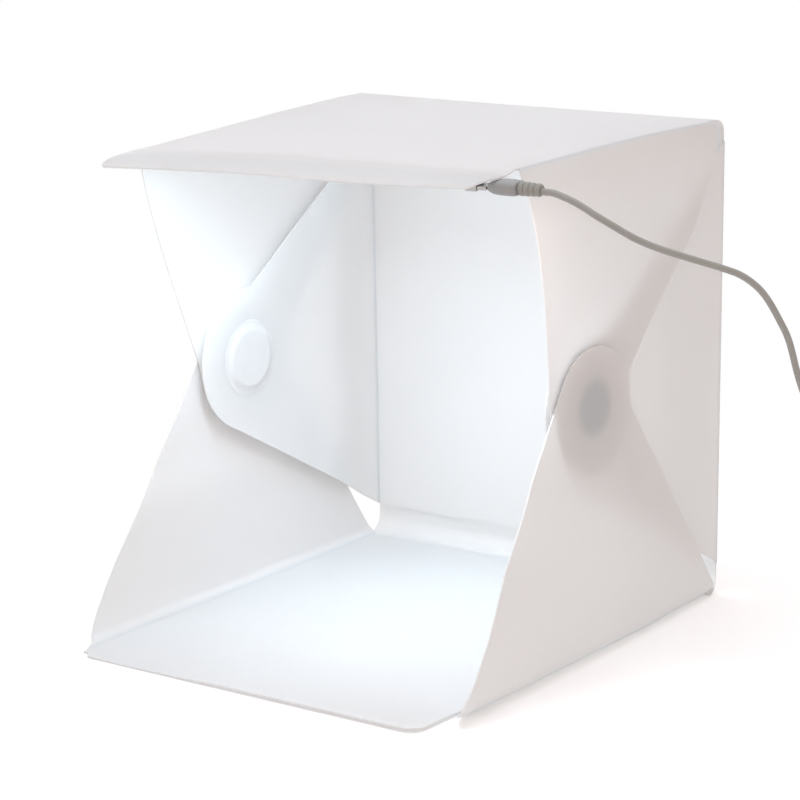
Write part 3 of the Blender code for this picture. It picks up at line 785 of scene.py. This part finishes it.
def magnet_set(side, word, layer, sheet_middle, metal, film):
    """A flat magnet on a flap's inner face, and the film patch whose brim is stuck down round it.

    They are turned about +Z, which then points into the tent. The film's inner face lies over the
    crown and falls to the brim by a soft step, and the brim's film thins to a tenth at its edge.
    """
    chamfer, film_share, thinning = 0.3, 0.6, 0.9
    turn = Matrix.Rotation(-side * pi / 2, 4, "Y")
    place = Matrix.Translation((side * (sheet_middle - half_sheet), magnet_y, magnet_z)) @ turn
    low, high = clearance / 2, clearance / 2 + magnet_thickness
    edge = magnet_thickness / 4
    cut = edge * chamfer
    disc = [
        (0, high), (magnet_radius - edge, high), (magnet_radius - cut, high - cut),
        (magnet_radius, high - edge), (magnet_radius, low + edge),
        (magnet_radius - cut, low + cut), (magnet_radius - edge, low), (0, low),
    ]
    magnet = turned(f"magnet_disc_{layer}_{word}", disc, metal, 64, place)
    radius = np.linspace(0, patch_radius, 60)
    fall = smoothstep((patch_brim_radius - radius) / (patch_brim_radius - patch_crown_radius))
    inner = clearance / 3 + high * fall
    taper = 1 - thinning * smoothstep((radius - patch_brim_radius) / (patch_radius - patch_brim_radius))
    top = np.stack([radius, inner + patch_thickness * film_share * taper], axis=1)
    bottom = np.stack([radius[::-1], inner[::-1]], axis=1)
    patch = turned(f"magnet_film_{layer}_{word}", np.concatenate([top, bottom]), film, 72, place)
    return magnet, patch


# The lamp strip and the plug


def refinish(mesh, finish):
    """Give a solid's mesh another material."""
    mesh.materials.clear()
    mesh.materials.append(finish)


def own_mesh(name, source, shape, finish):
    """An object with a copy of a solid's mesh, as the shape function changes it."""
    mesh = bpy.data.objects[source].data.copy()
    mesh.name = name
    shape(mesh)
    refinish(mesh, finish)
    return add(name, mesh)


def sag(mesh):
    """Bend a piece of the strip down with the roof that carries it.

    A long piece is first cut across every 6 mm or so, and a short one moves as a whole.
    """
    cut_length = 0.006
    points = np.empty(len(mesh.vertices) * 3, np.float32)
    mesh.vertices.foreach_get("co", points)
    points = points.reshape(-1, 3).astype(float)
    low, high = points[:, 0].min(), points[:, 0].max()
    cuts = max(1, round((high - low) / cut_length))
    middle = points.mean(axis=0)
    form = bmesh.new()
    form.from_mesh(mesh)
    for x in np.linspace(low, high, cuts + 1)[1:-1]:
        every = form.verts[:] + form.edges[:] + form.faces[:]
        bmesh.ops.bisect_plane(form, geom=every, plane_co=(x, 0, 0), plane_no=(1, 0, 0), dist=1e-7)
    for corner in form.verts:
        x = corner.co.x if cuts > 1 else middle[0]
        corner.co.z += min(0.0, float(roof_lift(np.array([x, middle[1], height]))[2]))
    form.to_mesh(mesh)
    form.free()


def sagged(name, finish):
    """A piece of the strip, bent down with the sheet that carries it."""
    piece = own_mesh(f"{name}_seated", name, sag, finish)
    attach(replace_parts(piece, name), "top")


def strip_frame(x):
    """Places +Z along +X at this x on the plug's axis, leaning with the hood above the strip."""
    rise, strip_share = 0.0006, 0.44
    low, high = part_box("plug_body")
    middle = (low + high) / 2
    lean = Matrix.Rotation(hood_end_angle * strip_share**2, 4, "X")
    place = Matrix.Translation((x, middle.y, middle.z + rise))
    return place @ lean @ Matrix.Rotation(pi / 2, 4, "Y")


def plug_metal(finish):
    """The plug's metal shell, drawn out to where the moulding begins."""
    low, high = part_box("plug_shell")
    outer_start = (low.x + high.x) / 2 + 0.001

    def draw_out(mesh):
        for corner in mesh.vertices:
            if corner.co.x > outer_start:
                corner.co.x += shell_draw

    return own_mesh("plug_metal", "plug_shell", draw_out, finish)


def plug_moulding(finish):
    """The plug's moulded body: rounded oblong sections that swell from the metal to the grip.

    A section's points lie at a power of the cosine and sine of their angle, times its half sizes. The
    stations are (share of the length, half width, half height), in millimetres.
    """
    power, sides = 2 / 3.4, 48
    low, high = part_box("plug_body")
    start, end = low.x + shell_draw, high.x
    stations = np.array([
        (0.00, 1.8, 1.00), (0.01, 2.6, 1.45), (0.03, 3.1, 1.75), (0.07, 3.5, 2.05),
        (0.14, 4.05, 2.45), (0.24, 4.60, 2.85), (0.36, 4.85, 3.05), (0.48, 4.95, 3.15),
        (0.64, 4.97, 3.17), (0.78, 4.95, 3.15), (0.90, 4.90, 3.10), (0.95, 4.80, 3.02),
        (0.98, 4.55, 2.82), (1.00, 4.10, 2.42),
    ])
    fine = np.unique(np.concatenate([np.linspace(0, 1, 60), stations[:, 0]]))
    wide = np.interp(fine, stations[:, 0], stations[:, 1]) / 1000
    tall = np.interp(fine, stations[:, 0], stations[:, 2]) / 1000
    angle = np.linspace(0, 2 * pi, sides, endpoint=False)
    c, s = np.cos(angle), np.sin(angle)
    sideways = np.sign(s) * np.abs(s) ** power
    up = np.sign(c) * np.abs(c) ** power
    rings = np.stack([
        -tall[:, None] * up[None, :], wide[:, None] * sideways[None, :],
        np.broadcast_to(((end - start) * fine)[:, None], (len(fine), sides)),
    ], axis=2)
    piece = rings_closed("plug_moulding", rings, finish, 50)
    piece.data.transform(strip_frame(start))
    return piece


def ribbed_relief(name, length, root, end, ribs, finish, place):
    """A tapered relief of soft round ribs, each a low power of a sine, with narrow grooves between."""
    groove, power = 0.00075, 0.35
    share = np.linspace(0, 1, 40 * ribs + 1)
    rib = np.abs(np.sin(pi * ribs * share)) ** power
    radius = (root + (end - root) * share) - groove * (1 - rib)
    profile = np.stack([radius, length * share], axis=1)
    return turned(name, np.vstack([[(0, 0)], profile, [(0, length)]]), finish, 40, place)


# The cable


cord_route = [
    (0.1394, -0.0668, 0.2341), (0.1489, -0.0662, 0.2309),
    (0.1578, -0.0642, 0.2258), (0.1647, -0.0605, 0.2210), (0.1716, -0.0555, 0.2158),
    (0.1780, -0.0490, 0.2114), (0.1851, -0.0405, 0.2071), (0.1909, -0.0315, 0.2031),
    (0.1955, -0.0240, 0.1998), (0.2001, -0.0165, 0.1959), (0.2039, -0.0095, 0.1900),
    (0.2066, -0.0045, 0.1833), (0.2095, 0.0005, 0.1735), (0.2118, 0.0045, 0.1639),
    (0.2139, 0.0105, 0.1444), (0.2180, 0.0180, 0.1241), (0.2222, 0.0270, 0.1036),
    (0.2268, 0.0370, 0.0830), (0.2310, 0.0470, 0.0628), (0.2350, 0.0560, 0.0435),
    (0.2380, 0.0645, 0.0273), (0.2403, 0.0720, 0.0135), (0.2418, 0.0790, 0.0050),
    (0.2424, 0.0850, 0.0020),
]


def smooth_route(route, spacing):
    """Points at even spacing along the smooth curve that passes through the route's points."""
    points = np.array(route)
    slopes = np.gradient(points, axis=0)
    slopes[0] = points[1] - points[0]
    slopes[-1] = points[-1] - points[-2]
    t = np.linspace(0, 1, 20, endpoint=False)[None, :, None]
    a, b = points[:-1, None], points[1:, None]
    slope_a, slope_b = slopes[:-1, None], slopes[1:, None]
    fine = (
        (2 * t**3 - 3 * t**2 + 1) * a + (t**3 - 2 * t**2 + t) * slope_a
        + (3 * t**2 - 2 * t**3) * b + (t**3 - t**2) * slope_b
    )
    fine = np.vstack([fine.reshape(-1, 3), points[-1:]])
    along = np.concatenate([[0.0], np.cumsum(np.linalg.norm(np.diff(fine, axis=0), axis=1))])
    even = np.linspace(0, along[-1], round(along[-1] / spacing) + 1)
    return np.column_stack([np.interp(even, along, fine[:, axis]) for axis in range(3)])


def coil_path():
    """The coil: in by one pitch a turn over half the turns and out again, on two layers."""
    steps_a_turn, tail_points = 48, 10
    low = tie_thickness + clearance + cord_diameter / 2
    turn = np.linspace(0, coil_turns, round(coil_turns * steps_a_turn) + 1)
    middle = coil_turns / 2
    radius = coil_outer_radius - coil_pitch * (middle - np.abs(turn - middle))
    level = low + coil_pitch * smoothstep((turn - middle) * 2 + 0.5)
    angle = pi - 2 * pi * turn
    coil = np.stack(
        [coil_centre_x + radius * np.cos(angle), coil_centre_y + radius * np.sin(angle), level], axis=1
    )
    start = (coil[0, 0], coil_centre_y - cord_diameter, low)
    fall = tail_length - tail_level_run - cord_diameter
    share = np.linspace(0, 1, tail_points)
    tail = np.stack([
        np.full(tail_points, coil_centre_x + coil_outer_radius),
        coil_centre_y - tail_level_run - fall * share,
        low + coil_pitch - (low + coil_pitch - far_body_height / 2) * smoothstep(share),
    ], axis=1)
    end = (tail[0, 0], coil_centre_y - tail_length, far_body_height / 2)
    return np.vstack([[start], coil, tail, [end]])


# Camera and light


def make_camera():
    """The photograph's view: from the front right, a little above."""
    yaw, pitch, roll = radians(37.496), radians(13.459), radians(-1.739)
    distance, aim = 1.38495, np.array([0.0, -0.00225, 0.120])
    sensor, image_width = 36.0, 800
    focal_pixels, shift_pixels_x, shift_pixels_y = 2890.45, 6.16, -14.058
    out = np.array([sin(yaw) * cos(pitch), -cos(yaw) * cos(pitch), sin(pitch)])
    ahead = -out
    right = np.cross(ahead, (0.0, 0.0, 1.0))
    right /= np.linalg.norm(right)
    up = np.cross(right, ahead)
    turned_right = right * cos(roll) + up * sin(roll)
    turned_up = -right * sin(roll) + up * cos(roll)
    place = aim + out * distance
    camera = add("camera", bpy.data.cameras.new("camera"))
    camera.matrix_world = Matrix([
        [turned_right[k], turned_up[k], out[k], place[k]] for k in range(3)
    ] + [[0, 0, 0, 1]])
    camera.data.sensor_width = sensor
    camera.data.lens = focal_pixels / image_width * sensor
    camera.data.shift_x = shift_pixels_x / image_width
    camera.data.shift_y = shift_pixels_y / image_width
    camera.data.clip_start = 0.05
    bpy.context.scene.camera = camera


def area_light(name, place, aim, size, power, colour):
    """A soft rectangular light that faces a point."""
    light = bpy.data.lights.new(name, "AREA")
    light.shape = "RECTANGLE"
    light.size, light.size_y = size
    light.energy = power
    light.color = colour
    lamp = add(name, light)
    lamp.location = place
    lamp.rotation_euler = (Vector(aim) - Vector(place)).to_track_quat("-Z", "Y").to_euler()
    return lamp


def make_room():
    """A warm even light all round, which the camera and shiny faces see as plain white."""
    colour, strength = (1.0, 0.835, 0.748), 0.72
    world = bpy.data.worlds.new("room")
    bpy.context.scene.world = world
    room = Tree(world, "World Output")
    warm = room.node("Background", {}, {"Color": colour, "Strength": strength})
    white = room.node("Background", {}, {"Color": (1.0, 1.0, 1.0), "Strength": 1.0})
    seen, shiny = (room.node("LightPath", {}, {}, f"Is {ray} Ray") for ray in ("Camera", "Glossy"))
    room.surface(room.node("MixShader", {}, {0: seen.math("MAXIMUM", shiny), 1: warm, 2: white}))


def make_light():
    """The room, a cool light overhead, and the lamp strip's light in the tent.

    The strip's light falls from three lengths of it, and comes back from the roof and the walls as the
    wide glow and the light towards the back.
    """
    make_room()
    area_light("overhead_light", (0, 0, 2.1), (0, 0, 0.12), (1.2, 1.2), 15.0, (0.58, 0.80, 1.0))
    strip_y, strip_z = -0.0665, 0.2325
    glow_y, glow_z = 0.030, 0.2350
    length = (0.06, 0.006)
    for name, x, y, z, aim_y, size, power, colour in (
        ("strip_left", -0.058, strip_y, strip_z, strip_y, length, 0.076, (0.68, 0.92, 1.0)),
        ("strip_middle", 0.002, strip_y, strip_z, strip_y, length, 0.028, (0.40, 0.60, 1.0)),
        ("strip_right", 0.062, strip_y, strip_z, strip_y, length, 0.104, (0.97, 0.905, 0.87)),
        ("strip_glow", 0.002, glow_y, glow_z, glow_y, (0.17, 0.16), 0.074, (0.70, 0.89, 1.0)),
        ("strip_back", 0.002, strip_y, strip_z, 0.060, (0.15, 0.006), 0.110, (0.74, 0.89, 1.0)),
    ):
        glow = area_light(name, (x, y, z), (x, aim_y, 0), size, power, colour)
        glow.visible_camera = False
        if name == "strip_back":
            glow.data.spread = radians(90)
        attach(glow, "top")


def make_floor():
    """A pale floor that keeps the tent's soft shadow and turns plain white farther out."""
    half_width, level = 3.0, -0.0002
    pale, lift_strength = (0.92, 0.92, 0.92), 0.24
    plain_from, plain_to = 0.26, 0.44
    paint = Paint("pale_floor", base_color=pale, roughness=0.7)
    lift = paint.node("Emission", {}, {"Color": (1.0, 1.0, 1.0), "Strength": lift_strength})
    white = paint.node("Emission", {}, {"Color": (1.0, 1.0, 1.0), "Strength": 1.0})
    seen = paint.node("LightPath", {}, {}, "Is Camera Ray")
    none = paint.node("Emission", {}, {"Color": (0.0, 0.0, 0.0), "Strength": 0.0})
    glow = paint.node("MixShader", {}, {0: seen, 1: none, 2: lift})
    both = paint.node("AddShader", {}, {0: Value(paint, paint.shader.outputs[0]), 1: glow})
    east, north = paint.axis("X"), paint.axis("Y")
    away = (east * east + north * north).math("SQRT")
    far = paint.node("MixShader", {}, {0: away.smooth(plain_from, plain_to) * seen, 1: both, 2: white})
    paint.surface(far)
    edge = np.linspace(-half_width, half_width, 3)
    x, y = np.meshgrid(edge, edge, indexing="ij")
    points = np.stack([x, y, np.full_like(x, level)], axis=2).reshape(-1, 3)
    floor = mesh_of("floor", points, grid_faces(3, 3), paint.material)


# The pieces


def make_cable(jacket, plated, grey, beige):
    """The cable from the plug to its coil, and the plug."""
    relief_root, relief_end, relief_ribs = 0.0033, 0.0028, 4
    point_spacing, sides = 0.0022, 20
    low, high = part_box("plug_strain_relief")
    exit_point = (high.x + clearance, (low.y + high.y) / 2, (low.z + high.z) / 2)
    ahead = (exit_point[0] + cord_diameter, exit_point[1], exit_point[2])
    coil = coil_path()
    before = (coil[0, 0], coil[0, 1] - clearance - cord_diameter, coil[0, 2])
    free = smooth_route([exit_point, ahead, *cord_route, before, tuple(coil[0])], point_spacing)
    path = np.vstack([free, coil[1:]])
    cable = tube("cable", path, cord_diameter / 2, sides, jacket)
    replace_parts(cable, "cord", "cord_coil")
    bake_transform(cable)
    shell = plug_metal(plated)
    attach(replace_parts(shell, "plug_shell"), "top")
    body = plug_moulding(grey)
    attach(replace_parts(body, "plug_body"), "top")
    ribs = ribbed_relief(
        "plug_ribs", high.x - low.x, relief_root, relief_end, relief_ribs, beige, strip_frame(low.x)
    )
    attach(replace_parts(ribs, "plug_strain_relief"), "top")


def make_sheets(sheet, film, metal):
    """The two wraps and the six flaps, with their magnets and patches."""
    base_end, roof_end, back_end = 0.030, 0.008, 0.005
    wrap = lower_wrap(sheet)
    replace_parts(wrap, "base_panel")
    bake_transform(wrap)
    roof = upper_wrap(sheet)
    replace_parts(roof, "back_panel", "top_panel")
    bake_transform(roof)

    for side, word in ((-1, "left"), (1, "right")):
        base_x, roof_x, crease_x, back_x = (
            side * half for half in (base_flat_half[side], roof_flat_half, crease_half_width, back_crease)
        )
        for layer, make, parent, sheet_middle, start, end in (
            ("lower", lower_flap, "base", lower_tip_x,
             (base_x, 0, half_sheet), (crease_x, 0, base_end)),
            ("upper", upper_flap, "top", upper_tip_x,
             (roof_x, 0, height - half_sheet), (crease_x, 0, height - roof_end)),
            ("back", back_flap, "back", back_tip_x,
             (back_x, back_y, 0), (back_x, depth / 2 - back_end, 0)),
        ):
            piece = make(side, word, sheet)
            body = f"{layer}_flap_{word}"
            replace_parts(piece, body)
            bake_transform(piece)
            magnet, patch = magnet_set(side, word, layer, sheet_middle, metal, film)
            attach(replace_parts(magnet, f"magnet_{layer}_{word}"), body)
            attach(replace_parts(patch, f"magnet_patch_{layer}_{word}"), body)


def make_strip():
    """The lamp strip under the roof's front: its board, its tape and its lamps."""
    board = moulding_paint("lamp_board", (0.86, 0.87, 0.86), 0.35)
    # The foam tape glows a little: painted light that lightens the hood's sheet over the strip
    glowing_foam = moulding_paint(
        "foam_tape", (0.82, 0.82, 0.80), 0.85, emission_color=(1.0, 0.98, 0.97), emission_strength=0.22
    )
    lamp = Paint(
        "lamp", base_color=(1.0, 0.97, 0.88), roughness=0.25,
        emission_color=(0.95, 0.98, 1.0), emission_strength=6.0,
    )
    sagged("lamp_strip_board", board)
    sagged("lamp_strip_tape", glowing_foam)
    for number in range(1, lamp_count + 1):
        sagged(f"lamp_{number:02d}", lamp.material)


def main():
    bpy.context.scene.view_settings.view_transform = "Standard"
    make_camera()
    make_light()
    make_floor()

    grey = moulding_paint("grey_moulding", (0.36, 0.367, 0.370), 0.45)
    beige = moulding_paint("beige_relief", (0.345, 0.345, 0.315), 0.55)
    jacket = moulding_paint("cord_jacket", (0.375, 0.372, 0.350), 0.50)
    plated = plated_paint()

    # The cable comes first, because its solids and its room outside the view depend on it.
    make_cable(jacket, plated, grey, beige)
    make_sheets(sheet_paint(), film_paint(), magnet_paint())
    make_strip()

    tongue = moulding_paint("plug_tongue", (0.85, 0.85, 0.83), 0.40)
    for name, finish in (
        ("power_socket", plated), ("far_plug_shell", plated), ("far_plug_body", grey),
        ("far_plug_strain_relief", grey), ("cord_tie", beige), ("far_plug_tongue", tongue),
    ):
        refinish(bpy.data.objects[name].data, finish)


main()
